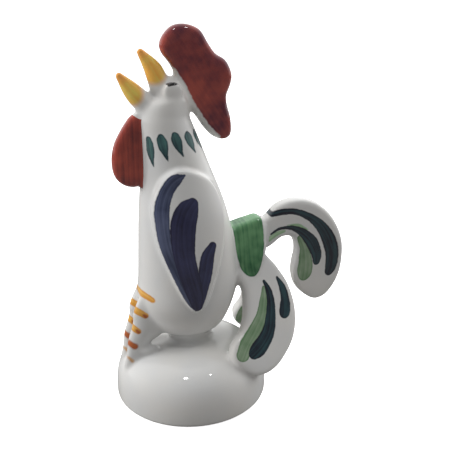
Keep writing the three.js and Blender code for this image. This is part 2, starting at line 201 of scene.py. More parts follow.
def add_lamp(name, size, watts, spot, glint=False):
    """A square lamp, its side in millimetres, that looks at the middle of the rooster. Only one
    for a glint is mirrored in the glaze."""
    location = place(*spot)
    aim = place(0, 0, lit_height) - location
    bpy.ops.object.light_add(
        type="AREA",
        location=location,
        rotation=aim.to_track_quat("-Z", "Y").to_euler(),
    )
    lamp = bpy.context.object
    lamp.name = name
    lamp.data.energy = watts
    lamp.data.size = size / 1000
    lamp.visible_glossy = glint


add_lamp("soft_lamp_above", 600, 0.6, (60, 60, 900))
add_lamp("soft_lamp_front", 400, 4.4, (-800, 160, 330))
add_lamp("soft_lamp_back", 600, 5.2, (700, 330, 380))
add_lamp("small_lamp_left", 60, 0.4, (-150, -250, 650), glint=True)
add_lamp("small_lamp_window", 45, 0.25, (200, -220, 620), glint=True)


# Mound
# The plain round mound is cast hollow and open underneath. It stands on a foot ring that is
# wiped free of glaze, and it shares a pour hole with the body above it.

mound_radius = 46
mound_squareness = 3.1
mound_wall = 4.5
foot_round = 1.5
foot_ring_width = 4
foot_ring_height = 3
pour_hole_radius = 9
round_sides = 128


def loft(name, rings, sides=72):
    """A closed form bridged over oval rings. A ring is its middle, its tilt to the back and its
    two half widths. It starts as a circle of one millimetre, which is scaled, tipped and moved."""
    bpy.ops.mesh.primitive_circle_add(vertices=sides, radius=1)
    form = bpy.context.object
    form.name = name
    bpy.ops.object.mode_set(mode="EDIT")
    bpy.ops.mesh.select_all(action="SELECT")
    bpy.ops.mesh.delete(type="VERT")
    for (x, y, height), tilt, half_long, half_deep in rings:
        bpy.ops.mesh.primitive_circle_add(vertices=sides, radius=0.001)
        bpy.ops.transform.resize(value=(half_long, half_deep, 1), center_override=(0, 0, 0))
        bpy.ops.transform.rotate(value=-tilt, orient_axis="Y", center_override=(0, 0, 0))
        bpy.ops.transform.translate(value=place(x, y, height))
    bpy.ops.mesh.select_all(action="SELECT")
    bpy.ops.mesh.bridge_edge_loops()
    bpy.ops.mesh.select_all(action="SELECT")
    bpy.ops.mesh.fill_holes(sides=0)
    bpy.ops.mesh.normals_make_consistent(inside=False)
    bpy.ops.object.mode_set(mode="OBJECT")
    return form


def dome(radius, bottom, top, rows=22):
    """Rings of a squat dome, up to just below its flat top."""
    rings = []
    for row in range(rows):
        rise = math.sin(row / rows * math.pi / 2)
        reach = radius * (1 - rise**mound_squareness) ** (1 / mound_squareness)
        rings.append(((0, 0, bottom + (top - bottom) * rise), 0, reach, reach))
    return rings


foot_radius = mound_radius - foot_round
foot_corner = ((0, 0, -mound_height), 0, foot_radius, foot_radius)
mound_form = loft(
    "mound_form",
    [foot_corner, *dome(mound_radius, foot_round - mound_height, 0)],
    sides=round_sides,
)
# The hollow is open below and widens over a short slope inside the foot ring
entry = foot_radius - foot_ring_width
mound_hollow = loft(
    "mound_hollow",
    [
        ((0, 0, -mound_height - 2), 0, entry, entry),
        ((0, 0, foot_ring_height - mound_height - 0.5), 0, entry, entry),
        *dome(mound_radius - mound_wall, foot_ring_height - mound_height, -mound_wall),
    ],
    sides=round_sides,
)


def noise(tree, places, cloud, low, high, detail=3.0):
    """Cloudy variation between two values. A cloud's size is in the unit of the places, which
    is the metre in object coordinates."""
    clouds = add_node(
        tree, "ShaderNodeTexNoise", {"Vector": places, "Scale": 1 / cloud, "Detail": detail}
    )
    spread = {"Value": clouds.outputs[0], "From Min": 0.3, "From Max": 0.7}
    return add_node(
        tree, "ShaderNodeMapRange", {**spread, "To Min": low, "To Max": high}
    ).outputs[0]


def mixed(tree, share, under, over):
    """The colour over another by a share, each of them a value or a socket."""
    blend = add_node(tree, "ShaderNodeMix", data_type="RGBA")
    for index, value in ((0, share), (6, under), (7, over)):
        if isinstance(value, bpy.types.NodeSocket):
            tree.links.new(value, blend.inputs[index])
        else:
            blend.inputs[index].default_value = value
    return blend.outputs[2]


porcelain_white = "#dddbd7"
bare_porcelain = "#d9d2c6"


def white_body(tree, spot):
    """The porcelain's own greyish white, a little cooler where the glaze lies thicker, in
    clouds of 36 mm."""
    clouds = noise(tree, spot, 0.036, 0.0, 1.0)
    return mixed(tree, clouds, linear(porcelain_white), linear("#d5d6d6"))


def clear_glaze(tree, colour, spot, bare=0.0):
    """A hard clear gloss over the colour, in waves 18 mm apart where it ran before it set, and
    missing where the body is bare."""
    gloss = add_node(tree, "ShaderNodeMath", {0: 1.0, 1: bare}, operation="SUBTRACT").outputs[0]
    wave = add_node(
        tree, "ShaderNodeTexNoise", {"Vector": spot, "Scale": 1 / 0.018, "Detail": 2.0}
    )
    bump = add_node(
        tree,
        "ShaderNodeBump",
        {"Strength": 0.5, "Distance": 0.0002, "Height": wave.outputs[0]},
    )
    porcelain = add_node(
        tree,
        "ShaderNodeBsdfPrincipled",
        {
            "Base Color": mixed(tree, bare, colour, linear(bare_porcelain)),
            "Roughness": 0.6,
            "Specular IOR Level": 0.1,
            "Coat Weight": gloss,
            "Coat Roughness": noise(tree, spot, 0.0033, 0.02, 0.05),
            "Coat Normal": bump.outputs[0],
        },
    )
    add_node(tree, "ShaderNodeOutputMaterial", {"Surface": porcelain.outputs[0]})


def stand_in(form, node, material):
    """The form takes its material and stands for its node of the frame."""
    form.name = f"glazed_{node}"
    form.data.materials.clear()
    form.data.materials.append(material)
    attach(form, "root")
    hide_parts(node)


# White porcelain under a clear glaze. The foot was wiped before firing, so the glaze ends a
# fraction of a millimetre above the table, on an uneven line with matt body below it.
bare_height = 0.0007
line_width = 0.0003
mound_glaze, tree = new_material("clear_glazed_porcelain_with_bare_foot")
spot = add_node(tree, "ShaderNodeTexCoord").outputs["Object"]
height = add_node(tree, "ShaderNodeSeparateXYZ", {0: spot}).outputs["Z"]
line = add_node(
    tree,
    "ShaderNodeMath",
    {0: height, 1: noise(tree, spot, 0.0056, -line_width, line_width)},
    operation="ADD",
)
bare = add_node(
    tree,
    "ShaderNodeMapRange",
    {
        "Value": line.outputs[0],
        "From Min": bare_height,
        "From Max": bare_height + line_width,
        "To Min": 1.0,
        "To Max": 0.0,
    },
)
clear_glaze(tree, white_body(tree, spot), spot, bare.outputs[0])
stand_in(mound_form, "base_mound", mound_glaze)


# Torso
# Body and neck are cast in one oval shell that leans back, narrows towards the throat and
# sits on the crest of the mound.

body_flatness = 0.88
body_wall = 4
# Height above the crest, place along X and half length, from the underside to the throat
body_levels = [
    (0.3, 0, 13),
    (5, -0.9, 14.6),
    (12, -1.9, 22.4),
    (27, -2.2, 29),
    (43, -0.4, 29.9),
    (81, -3, 25.5),
    (110, -7.3, 19),
    (136, -12.7, 14.3),
]
neck_rim = (-12.7, 136)
shoulder = (-3, 81)
tail_root = (29.5, 43)


def smooth_row(stations, steps, closed=False):
    """Points spaced along a smooth line through all the stations."""
    knots = np.array(stations, float)
    count = len(knots)
    spans = count if closed else count - 1
    row = []
    for share in np.linspace(0, spans, steps, endpoint=not closed):
        index = min(int(share), spans - 1)
        t = share - index
        b, c = knots[index], knots[(index + 1) % count]
        a = knots[index - 1] if closed or index > 0 else 2 * b - c
        d = knots[(index + 2) % count] if closed or index + 2 < count else 2 * c - b
        before, across, after = (
            max(math.sqrt(np.linalg.norm(end - start)), 1e-3)
            for start, end in ((a, b), (b, c), (c, d))
        )
        leave = (b - a) / before - (c - a) / (before + across) + (c - b) / across
        arrive = (c - b) / across - (d - b) / (across + after) + (d - c) / after
        leave, arrive = leave * across, arrive * across
        bend = 3 * (c - b) - 2 * leave - arrive
        twist = 2 * (b - c) + leave + arrive
        row.append(b + leave * t + bend * t**2 + twist * t**3)
    return np.array(row)


def body_rings(shrink=0):
    """Rings of the body, or of its hollow where they shrink by the wall."""
    return [
        ((x, 0, height), 0, reach - shrink, reach * body_flatness - shrink)
        for height, x, reach in smooth_row(body_levels, 40)
    ]


# The hollow leaves out the lowest rings, where only the pour hole goes through the wall
torso_form = loft("torso_form", body_rings(), sides=96)
torso_hollow = loft("torso_hollow", body_rings(body_wall)[3:], sides=64)
hole = pour_hole_radius
pour_hole = loft(
    "pour_hole",
    [((0, 0, -2 * mound_wall), 0, hole, hole), ((0, 0, 2 * body_wall), 0, hole, hole)],
)


# The colours are metal oxides, brushed on in single strokes and fired into the glaze. They are
# streaky along the stroke, and pool darker at its edge.
paintings = []
# Stored depths count from here, so that a piece without strokes reads as far outside them
edge_mark = 20
# From the end of one stroke to the next along the brush's way, so that their hairs differ
stroke_break = 40


def brush(forms_to_paint, marks, strokes, plane):
    """Notes strokes for some forms. A stroke's stations are its way over the drawing plane, in
    two coordinates, and its half width there. The plane is a function of places on the form."""
    paintings.extend((form, marks, strokes, plane) for form in forms_to_paint)


def stroke_field(spots, strokes):
    """How deep each spot lies inside its nearest stroke, and how far along and across it."""
    field = np.full((len(spots), 3), -float(edge_mark))
    run = 0
    for stations in strokes:
        line = smooth_row(stations, 30)
        for start, end in zip(line[:-1], line[1:]):
            way = end[:2] - start[:2]
            length = max(np.linalg.norm(way), 1e-6)
            offset = spots - start[:2]
            share = np.clip(offset @ way / length**2, 0, 1)
            gap = np.linalg.norm(offset - share[:, None] * way, axis=1)
            depth = start[2] + share * (end[2] - start[2]) - gap
            across = offset @ np.array([-way[1], way[0]]) / length
            better = depth > field[:, 0]
            field[better] = np.stack([depth, run + share * length, across], axis=1)[better]
            run += length
        run += stroke_break
    field[:, 0] += edge_mark
    return field


def pigment(tree, spot, under, marks, thin, full, streaks=0.35, blots=0.3, soft=0.3, ragged=0.15):
    """Lays a brushed colour over another, between its thin and its full strength. Streaks along
    the hairs, 1.7 mm wide, and blots of 11 mm vary the strength. The edge fades over twice the
    soft millimetres, and strays by the ragged ones."""
    stored = add_node(tree, "ShaderNodeAttribute", attribute_name=marks)
    field = add_node(tree, "ShaderNodeSeparateXYZ", {0: stored.outputs["Vector"]})
    inward = add_node(
        tree,
        "ShaderNodeMath",
        {0: field.outputs["X"], 1: noise(tree, spot, 0.00286, -ragged, ragged)},
        operation="ADD",
    )
    inside = add_node(
        tree,
        "ShaderNodeMapRange",
        {"Value": inward.outputs[0], "From Min": edge_mark - soft, "From Max": edge_mark + soft},
        interpolation_type="SMOOTHSTEP",
    )
    along = add_node(tree, "ShaderNodeMath", {0: field.outputs["Y"], 1: 0.04}, operation="MULTIPLY")
    hairs = add_node(tree, "ShaderNodeCombineXYZ", {0: along.outputs[0], 1: field.outputs["Z"]})
    pooled = add_node(
        tree,
        "ShaderNodeMapRange",
        {
            "Value": inward.outputs[0],
            "From Min": edge_mark + 0.2,
            "From Max": edge_mark + 1.0,
            "To Min": 1.0,
            "To Max": 0.5,
        },
    )
    strength = pooled
    for part in (
        noise(tree, hairs.outputs[0], 1.67, -streaks, streaks),
        noise(tree, spot, 0.0111, -blots, blots, detail=2.0),
    ):
        strength = add_node(
            tree, "ShaderNodeMath", {0: strength.outputs[0], 1: part}, operation="ADD"
        )
    strength = add_node(tree, "ShaderNodeClamp", {"Value": strength.outputs[0]})
    colour = mixed(tree, strength.outputs[0], linear(thin), linear(full))
    return mixed(tree, inside.outputs[0], under, colour)


def painted(name, *coats):
    """Porcelain with brushed coats of colour under the clear glaze."""
    material, tree = new_material(name)
    spot = add_node(tree, "ShaderNodeTexCoord").outputs["Object"]
    colour = white_body(tree, spot)
    for coat in coats:
        colour = pigment(tree, spot, colour, **coat)
    clear_glaze(tree, colour, spot)
    return material


def side_view(x, height):
    """The drawing plane seen from the side, counted from a place on the body."""
    return lambda places: places[:, [0, 2]] - (x, height)


# A usual radius of the neck, by which turns round it become millimetres
neck_radius = 15.5


def neck_view(places):
    """The leaning neck rolled out: how far round from the front, and the height from its rim."""
    heights, middles = np.array(body_levels)[:, 0], np.array(body_levels)[:, 1]
    x = places[:, 0] - np.interp(places[:, 2], heights, middles)
    around = np.arctan2(-places[:, 1] / body_flatness, -x) % (2 * math.pi)
    return np.stack([around * neck_radius, places[:, 2] - neck_rim[1]], axis=1)


# Drops stand all round the neck except behind the wattle. The front ones are longer. Heights
# are of a drop's top and its tip below the neck rim, from the front one to the one at the back.
drop_count = 11
first_drop, last_drop = math.radians(38), math.radians(322)
drop_heights = [
    (-8.2, -24.4), (-6.4, -21), (-5.8, -18.8), (-6.2, -18.1), (-6.4, -18), (-6.4, -18),
]
neck_drops = []
for index, turn in enumerate(np.linspace(first_drop, last_drop, drop_count)):
    side = 1 if index <= drop_count // 2 else -1
    top, tip = drop_heights[min(index, drop_count - 1 - index)]
    middle = turn * neck_radius
    tall = top - tip
    neck_drops.append([
        (middle, top - 2, 2),
        (middle, top - 0.3 * tall, 2.8),
        (middle + 0.1 * side, top - 0.52 * tall, 2.4),
        (middle + 0.5 * side, top - 0.78 * tall, 1.2),
        (middle + 1.1 * side, tip, 0.3),
    ])
brush([torso_form], "neck_drops", neck_drops, neck_view)
drop_coat = {"marks": "neck_drops", "thin": "#4a7571", "full": "#1d3840"}
# The highest of the ochre bars on the legs starts on the chest
chest_bars = [[(-31.4, 35.6, 1.7), (-29, 35.4, 2), (-26.4, 34.6, 1.8)]]
brush([torso_form], "leg_bars", chest_bars, side_view(0, 0))
bar_coat = {"marks": "leg_bars", "thin": "#ecbc60", "full": "#d08f35", "soft": 0.5}
# Drops of blue-green oxide, each in one press of the brush, stay dark and even under the glaze
teal_on_porcelain = painted("porcelain_with_teal_drops", drop_coat, bar_coat)
stand_in(torso_form, "torso", teal_on_porcelain)


# Head
# A small cap closes the neck. It is tipped back and narrows to the crown.

# Rise above the neck rim, shift to the back and the two half widths
head_levels = [
    (-3, 0, 14.3, 12.6),
    (8, 1.5, 12.6, 11.5),
    (11.5, 3.8, 9.2, 10.4),
    (17, 4.1, 6.4, 7.8),
    (21.5, 3.8, 1.8, 2.4),
]


def from_neck(x, rise):
    """A place and height from those counted from the neck rim."""
    return neck_rim[0] + x, neck_rim[1] + rise


head_rings = []
for rise, shift, half_long, half_deep in smooth_row(head_levels, 16):
    x, height = from_neck(shift, rise)
    head_rings.append(((x, 0, height), 0, half_long, half_deep))
head_form = loft("head_form", head_rings, sides=64)
# A black dash in two touches runs along the upper edge of each eye
eye_dashes = [
    [(1.2, 18.5, 0.8), (3.4, 19, 0.9)],
    [(4.2, 19.2, 1.1), (6.8, 19.8, 1.3), (9.6, 19.4, 1)],
]
brush([head_form], "eye_dashes", eye_dashes, side_view(*neck_rim))
eye_coat = {"marks": "eye_dashes", "thin": "#1b1c20", "full": "#0b0b0e"}
# A thick black oxide covers the porcelain fully, as ink does
porcelain_with_eye_dashes = painted("porcelain_with_black_dashes", eye_coat)
stand_in(head_form, "head", porcelain_with_eye_dashes)


# Beak
# Two blunt, curved horns rolled by hand and luted to the face, open from the corner of the
# mouth.

# Place and rise from the neck rim, and half width, from the face to the tip
upper_beak_line = [(-0.7, 14.9, 6.1), (-4.75, 25.35, 4.9), (-11.2, 34.6, 2)]
lower_beak_line = [(-9.1, 6.6, 6.1), (-16.35, 14.55, 4.9), (-23, 22.8, 2)]
beak_flatness = 0.95


def limb(name, stations, depth_of, y=0, steps=14, sides=40):
    """A tapered limb with round ends, through stations of place, height and half width. Its
    depth across the rooster follows from the half width."""
    line = smooth_row(stations, steps)
    ways = np.gradient(line[:, :2], axis=0)
    rings = []

    def add_ring(index, ahead):
        (x, height, half_width), way = line[index], ways[index] / np.linalg.norm(ways[index])
        x += way[0] * half_width * math.sin(ahead)
        height += way[1] * half_width * math.sin(ahead)
        tilt = math.atan2(way[0], way[1])
        narrow = math.cos(ahead)
        rings.append(((x, y, height), tilt, half_width * narrow, depth_of(half_width) * narrow))

    cap_turns = [math.radians(turn) for turn in (80, 60, 40, 20)]
    for turn in cap_turns:
        add_ring(0, -turn)
    for index in range(steps):
        add_ring(index, 0)
    for turn in reversed(cap_turns):
        add_ring(-1, turn)
    return loft(name, rings, sides)


beak_forms = {}
for node, line in (("beak_upper", upper_beak_line), ("beak_lower", lower_beak_line)):
    stations = [(*from_neck(x, rise), half_width) for x, rise, half_width in line]
    beak_forms[node] = limb(f"{node}_form", stations, lambda half_width: half_width * beak_flatness)

# Ochre fades in from the face and turns orange at the tips
ochre_reach = {
    "beak_upper": [(-5.2, 25.2, 7), (-13, 40, 7)],
    "beak_lower": [(-18.5, 14.2, 7), (-30, 27, 7)],
}
orange_reach = {
    "beak_upper": [(-13.5, 37.5, 6.5), (-16, 42, 6.5)],
    "beak_lower": [(-25.5, 25, 6.5), (-29, 29, 6.5)],
}
ochre_coat = {"marks": "ochre", "thin": "#e8cd62", "full": "#ecae4c", "soft": 2.2, "blots": 0.5}
orange_coat = {"marks": "orange", "thin": "#f2b058", "full": "#eaa04c", "soft": 2.5}
# Two thin ochre washes let the white through and melt into each other at soft edges
ochre_on_porcelain = painted("ochre_brushed_porcelain", ochre_coat, orange_coat)
for node, form in beak_forms.items():
    brush([form], "ochre", [ochre_reach[node]], side_view(*neck_rim))
    brush([form], "orange", [orange_reach[node]], side_view(*neck_rim))
    stand_in(form, node, ochre_on_porcelain)


# Comb
# A thick red comb of soft lobes, cut from a slab and luted along the crown and the nape.

comb_thickness = 9.5
comb_outline = [
    (6.5, 22.3), (3.6, 28.7), (-0.4, 34), (-1, 39.5), (5.1, 47.2), (12.4, 48.5), (20.6, 45.4),
    (25.1, 38.5), (29.4, 32.6), (35, 29), (38.6, 21), (37.7, 15.5), (35.3, 9), (38.1, -4.2),
    (37.8, -12.4), (33.8, -14.7), (27.4, -12.4), (22.5, -7.3), (17, 0.5), (10.4, 6), (4.4, 14),
]


clay_grain = 0.0009


def select_only(*pieces):
    """Selects the pieces and nothing else. The last one is the active one."""
    bpy.ops.object.select_all(action="DESELECT")
    for piece in pieces:
        piece.select_set(True)
        bpy.context.view_layer.objects.active = piece


def lobe(name, outline, thickness, edge=3.4, crown=0.1, crown_reach=9):
    """A flat lobe in the middle plane with round edges. Its faces are crowned: they lose that
    share of the thickness towards the rim, over the reach."""
    curve = bpy.data.curves.new(name, "CURVE")
    curve.dimensions = "2D"
    curve.fill_mode = "BOTH"
    line = smooth_row(outline, 6 * len(outline), closed=True)
    spline = curve.splines.new("POLY")
    spline.points.add(len(line) - 1)
    for point, (x, height) in zip(spline.points, line):
        point.co = (*(place(x, 0, height).xz), 0, 1)
    spline.use_cyclic_u = True
    curve.extrude = (thickness / 2 - edge) / 1000
    curve.bevel_depth = edge / 1000
    curve.bevel_resolution = 5
    curve.offset = -edge / 1000
    form = bpy.data.objects.new(name, curve)
    bpy.context.scene.collection.objects.link(form)
    form.rotation_euler.x = math.pi / 2
    select_only(form)
    bpy.ops.object.convert(target="MESH")
    bpy.ops.object.transform_apply(location=False, rotation=True, scale=False)
    apply_modifier(form, "REMESH", mode="VOXEL", voxel_size=clay_grain)
    rim = np.array([place(x, 0, height).xz for x, height in line])
    for vertex in form.data.vertices:
        gap = np.linalg.norm(rim - np.array(vertex.co.xz), axis=1).min() * 1000
        slope = 1 - min(gap / crown_reach, 1)
        vertex.co.y *= 1 - crown * slope**2
    apply_modifier(form, "SMOOTH", factor=0.5, iterations=8)
    return form


def apply_modifier(piece, kind, **settings):
    bpy.context.view_layer.objects.active = piece
    modifier = piece.modifiers.new(kind, kind)
    for name, value in settings.items():
        setattr(modifier, name, value)
    bpy.ops.object.modifier_apply(modifier=modifier.name)


comb_form = lobe("comb_form", [from_neck(*point) for point in comb_outline], comb_thickness)
# Red covers the comb except for a strip along the head
red_area = [[(13, 36, 40), (30, 10, 40)]]
bare_strip = [
    [
        (0.5, 28.5, 2.4), (4.6, 22, 3.6), (6.5, 16.5, 4.9), (11, 7, 5), (17, -1, 3.9),
        (22, -7.6, 3.4), (28, -14, 3.4),
    ],
]
brush([comb_form], "red_area", red_area, side_view(*neck_rim))
brush([comb_form], "bare_strip", bare_strip, side_view(*neck_rim))
red_coat = {
    "marks": "red_area", "thin": "#a44b40", "full": "#5e2432", "streaks": 0.1, "blots": 0.5,
}
bare_coat = {
    "marks": "bare_strip", "thin": porcelain_white, "full": "#d3d3d1", "soft": 0.5, "ragged": 0.3,
}
# A full coat of iron red, dabbed on, fires to a mottled brown red with an uneven lower edge
red_on_porcelain = painted("red_brushed_porcelain", red_coat, bare_coat)
stand_in(comb_form, "comb", red_on_porcelain)


# Wattle
# One flat round lobe under the lower beak, luted to the throat.

wattle_thickness = 8.5
wattle_outline = [
    (-14.3, 3.4), (-17.8, 2), (-20.9, -1.7), (-24.5, -7), (-27.8, -13.4), (-29.6, -22),
    (-29, -29.4), (-26.5, -34.2), (-22.2, -37.2), (-17.3, -38.2), (-11.8, -36.5), (-7.3, -30),
    (-5.3, -18), (-6.3, -5), (-9.8, 2),
]
wattle_form = lobe(
    "wattle_form", [from_neck(*point) for point in wattle_outline], wattle_thickness
)
wattle_strokes = [[(-17.6, -8, 12.4), (-17.6, -26.4, 12.4)]]


def flap_view(places):
    """The side view, in which what stands out beyond the wattle's faces lies far off."""
    spots = side_view(*neck_rim)(places)
    beyond = np.maximum(np.abs(places[:, 1]) - wattle_thickness / 2 - 0.1, 0)
    spots[:, 0] += 10 * beyond
    return spots


brush([wattle_form], "red_strokes", wattle_strokes, flap_view)
wattle_coat = {
    "marks": "red_strokes", "thin": "#b14c3c", "full": "#6c2a2a", "soft": 0.4, "streaks": 0.3,
}
# The same iron red drawn down in one broad stroke, so the hairs of the brush show as streaks
streaky_red = painted("streaky_red_porcelain", wattle_coat)
stand_in(wattle_form, "wattle", streaky_red)


# Eyes
# Low oval pads of clay with a thin raised rim, pressed on both cheeks.

eye_length = 10.5
eye_tall = 9
eye_relief = 2.6
eye_rim = 2.2
# Shares of the pad's length and of its relief at which the rim runs
rim_share = 0.42
rim_lift = 0.55
eye_shift, eye_rise, eye_spread = 3.5, 15.2, 8

eye_forms = {}
for suffix, side in (("left", -1), ("right", 1)):
    x, height = from_neck(eye_shift, eye_rise)
    bpy.ops.mesh.primitive_uv_sphere_add(segments=48, ring_count=24, radius=0.001)
    form = bpy.context.object
    form.name = f"eye_{suffix}_form"
    form.scale = (eye_length / 2, eye_relief, eye_tall / 2)
    form.location = place(x, side * eye_spread, height)
    bpy.ops.object.transform_apply(location=True, rotation=False, scale=True)
    bpy.ops.mesh.primitive_torus_add(
        major_radius=0.001,
        minor_radius=0.001 * eye_rim / eye_length,
        rotation=(math.pi / 2, 0, 0),
    )
    rim = bpy.context.object
    rim.scale = (rim_share * eye_length, rim_share * eye_tall, rim_share * eye_length)
    rim.location = place(x, side * (eye_spread + rim_lift * eye_relief), height)
    bpy.ops.object.transform_apply(location=True, rotation=True, scale=True)
    select_only(rim, form)
    bpy.ops.object.join()
    eye_forms[f"eye_{suffix}"] = form
    stand_in(form, f"eye_{suffix}", porcelain_with_eye_dashes)
brush(eye_forms.values(), "eye_dashes", eye_dashes, side_view(*neck_rim))


# Wings
# Shield-shaped wings stand a few millimetres proud of the shoulders, with a round edge.

wing_relief = 3.2
wing_outline = [
    (-7.1, 29.8), (0, 28.6), (5.8, 26.1), (11.4, 22.3), (16.5, 14.3), (18.9, 6.7), (19.5, -4.9),
    (16.3, -18.4), (10.2, -35.4), (4.2, -49.4), (-0.5, -51.8), (-6.1, -44.8), (-13.5, -29.1),
    (-19.2, -13.6), (-21.6, 1.7), (-21.2, 9.4), (-18.9, 17.4), (-15.1, 24.6),
]


def copy_of(source, name):
    """A copy with its own mesh."""
    duplicate = source.copy()
    duplicate.data = source.data.copy()
    duplicate.name = name
    bpy.context.scene.collection.objects.link(duplicate)
    return duplicate


def cut(piece, tool, operation="DIFFERENCE"):
    apply_modifier(piece, "BOOLEAN", object=tool, operation=operation, solver="MANIFOLD")


# A wing is cut from a deep block by the body, fattened by the wing's relief
wing_depth = 34
wing_grain = 0.0007
wing_forms = {}
for suffix, side in (("left", -1), ("right", 1)):
    outline = [(shoulder[0] + x, shoulder[1] + rise) for x, rise in wing_outline]
    form = lobe(f"wing_{suffix}_form", outline, wing_depth, edge=0.5, crown=0)
    form.data.transform(Matrix.Translation((0, side * wing_depth / 2000, 0)))
    body = copy_of(torso_form, "fattened_body")
    apply_modifier(body, "DISPLACE", mid_level=0, strength=wing_relief / 1000)
    cut(form, body, "INTERSECT")
    bpy.data.objects.remove(body)
    apply_modifier(form, "REMESH", mode="VOXEL", voxel_size=wing_grain)
    apply_modifier(form, "SMOOTH", factor=0.5, iterations=10)
    wing_forms[f"wing_{suffix}"] = form

wing_crescent = [[
    (-4, 27, 0.6), (-9.1, 24.4, 3.2), (-12.1, 21.2, 3.3), (-15, 15.4, 3.5), (-16.8, 7.2, 3.7),
    (-16.7, -3.6, 3.4), (-15.3, -13.2, 3.2), (-12.2, -23, 3.1), (-8.2, -34.2, 2.7),
    (-3.6, -45, 2.2), (-0.9, -49.4, 1.3),
]]
wing_leaf = [[
    (-0.8, 11.5, 3.4), (-3.8, 7.5, 6.2), (-6.2, 0.5, 6.9), (-6.8, -8, 6.5), (-6.5, -17, 5.8),
    (-4.5, -28, 5.5), (-1.6, -39.5, 4.6), (-0.5, -47.5, 2.8),
]]
wing_sliver = [[
    (9.3, -13.2, 2.6), (6.6, -18, 3.9), (4.6, -27.5, 4.2), (2.4, -38, 3.4), (0.6, -47.5, 2),
]]
crescent_coat = {"marks": "crescent", "thin": "#535b77", "full": "#2c344e", "streaks": 0.5}
leaf_coat = {"marks": "leaf", "thin": "#32355a", "full": "#1b1b3a", "streaks": 0.4}
sliver_coat = {**leaf_coat, "marks": "sliver", "thin": "#343a60"}
# Cobalt blue in long strokes, nearly black where a loaded brush left the most
navy_on_porcelain = painted("navy_brushed_porcelain", crescent_coat, sliver_coat, leaf_coat)
for marks, strokes in (("crescent", wing_crescent), ("leaf", wing_leaf), ("sliver", wing_sliver)):
    brush(wing_forms.values(), marks, strokes, side_view(*shoulder))
for node, form in wing_forms.items():
    stand_in(form, node, navy_on_porcelain)


# Legs
# Two thick feathered columns side by side lean back from the mound's shoulder into the chest.

leg_spacing = 11.6
leg_gap = 0.3
leg_half_width = 11.8
hip = (-18.6, 42)
foot = (-35.2, -4)
# Share of the way up, bow to the back and half width, both in the widest half width
leg_stations = [
    (1, 0, 0.61), (0.85, 0.05, 0.78), (0.66, 0.13, 0.95), (0.45, 0.18, 0.97), (0.28, 0, 0.66),
    (0.16, -0.07, 0.55), (0, 0, 0.5),
]
way = np.array(hip) - np.array(foot)
back = np.array([way[1], -way[0]]) / np.linalg.norm(way)
leg_line = [
    (*(np.array(foot) + share * way + bow * leg_half_width * back), width * leg_half_width)
    for share, bow, width in leg_stations
]
side_room = (leg_spacing - leg_gap) / 2

leg_forms = {}
for suffix, side in (("left", -1), ("right", 1)):
    leg_forms[f"leg_{suffix}"] = limb(
        f"leg_{suffix}_form",
        leg_line,
        lambda half_width: side_room * math.sqrt(half_width / leg_half_width),
        y=side * leg_spacing / 2,
        steps=24,
        sides=56,
    )

leg_bars = [
    [(-34, 36, 1.6), (-29, 35.4, 2), (-26.4, 34.6, 1.8)],
    [(-38, 26.6, 1.6), (-33, 25, 2.1), (-29.6, 23, 1.8)],
    [(-41.5, 16.4, 1.6), (-37, 14.8, 2.1), (-34, 12.8, 1.8)],
    [(-43.5, 6.8, 1.5), (-40.4, 5.4, 1.6)],
]
rust_touches = [
    [(-30.2, 23.2, 0.8), (-29.2, 22.3, 1)], [(-34.6, 13.2, 0.9), (-33.6, 12.3, 1)],
    [(-38.9, 4.7, 1.8), (-36.4, 3.2, 2)],
]
rust_coat = {"marks": "rust", "thin": "#c8703a", "full": "#a04e24", "soft": 0.8}
# Ochre bars of one short stroke each, browned by a touch of rust where the brush was lifted
ochre_barred_porcelain = painted("ochre_barred_porcelain", bar_coat, rust_coat)
brush(leg_forms.values(), "leg_bars", leg_bars, side_view(0, 0))
brush(leg_forms.values(), "rust", rust_touches, side_view(0, 0))
for node, form in leg_forms.items():
    stand_in(form, node, ochre_barred_porcelain)


# Toes
# Small rolls of clay laid on the mound, one to the front and one to the back of each foot.

# How far a hind toe stands out beside its front toe
hind_toe_spread = 2.8
# Each toe's radius, and its places from the foot and half widths as shares of that radius
toe_lines = {
    "front": (3.8, [(-0.2, 0.65, 1), (-0.9, -0.8, 0.85), (-1.3, -2.2, 0.6)]),
    "hind": (3.3, [(1, 0.8, 0.75), (2.1, 1, 0.9), (3.2, 1, 0.75)]),
}
toe_forms = {}
for suffix, side in (("left", -1), ("right", 1)):
    for kind, (radius, line) in toe_lines.items():
        stations = [
            (foot[0] + x * radius, foot[1] + rise * radius, half_width * radius)
            for x, rise, half_width in line
        ]
        name = f"toe_{kind}_{suffix}"
        y = side * (leg_spacing / 2 + (hind_toe_spread if kind == "hind" else 0))
        toe_forms[name] = limb(f"{name}_form", stations, lambda half_width: half_width, y, steps=8)
toe_touches = [[(-40, -4.6, 0.9), (-38.2, -6.4, 1)]]
faint_coat = {"marks": "toe_touches", "thin": "#d5c3a6", "full": "#c99a6a", "soft": 0.8}
# White porcelain that the almost empty brush only brushed against
faintly_touched_porcelain = painted("faintly_touched_porcelain", bar_coat, rust_coat, faint_coat)
toe_marks = {"leg_bars": leg_bars, "rust": rust_touches, "toe_touches": toe_touches}
for marks, strokes in toe_marks.items():
    brush(toe_forms.values(), marks, strokes, side_view(0, 0))
for node, form in toe_forms.items():
    stand_in(form, node, faintly_touched_porcelain)


# Tail collar
# A thick band behind the body that the plumes grow from. It widens towards its foot.

collar_thickness = 13.4
collar_foot_thickness = 31
collar_outline = [
    (-10.5, 22.4), (-1.5, 26.8), (7.1, 29), (13.8, 30.2), (16.4, 27.3), (17.2, 22.4), (17, 15.5),
    (15.6, 8), (12.5, 0.3), (8.5, -5.6), (4, -4.7), (0, -0.2), (-7.5, 7),
]


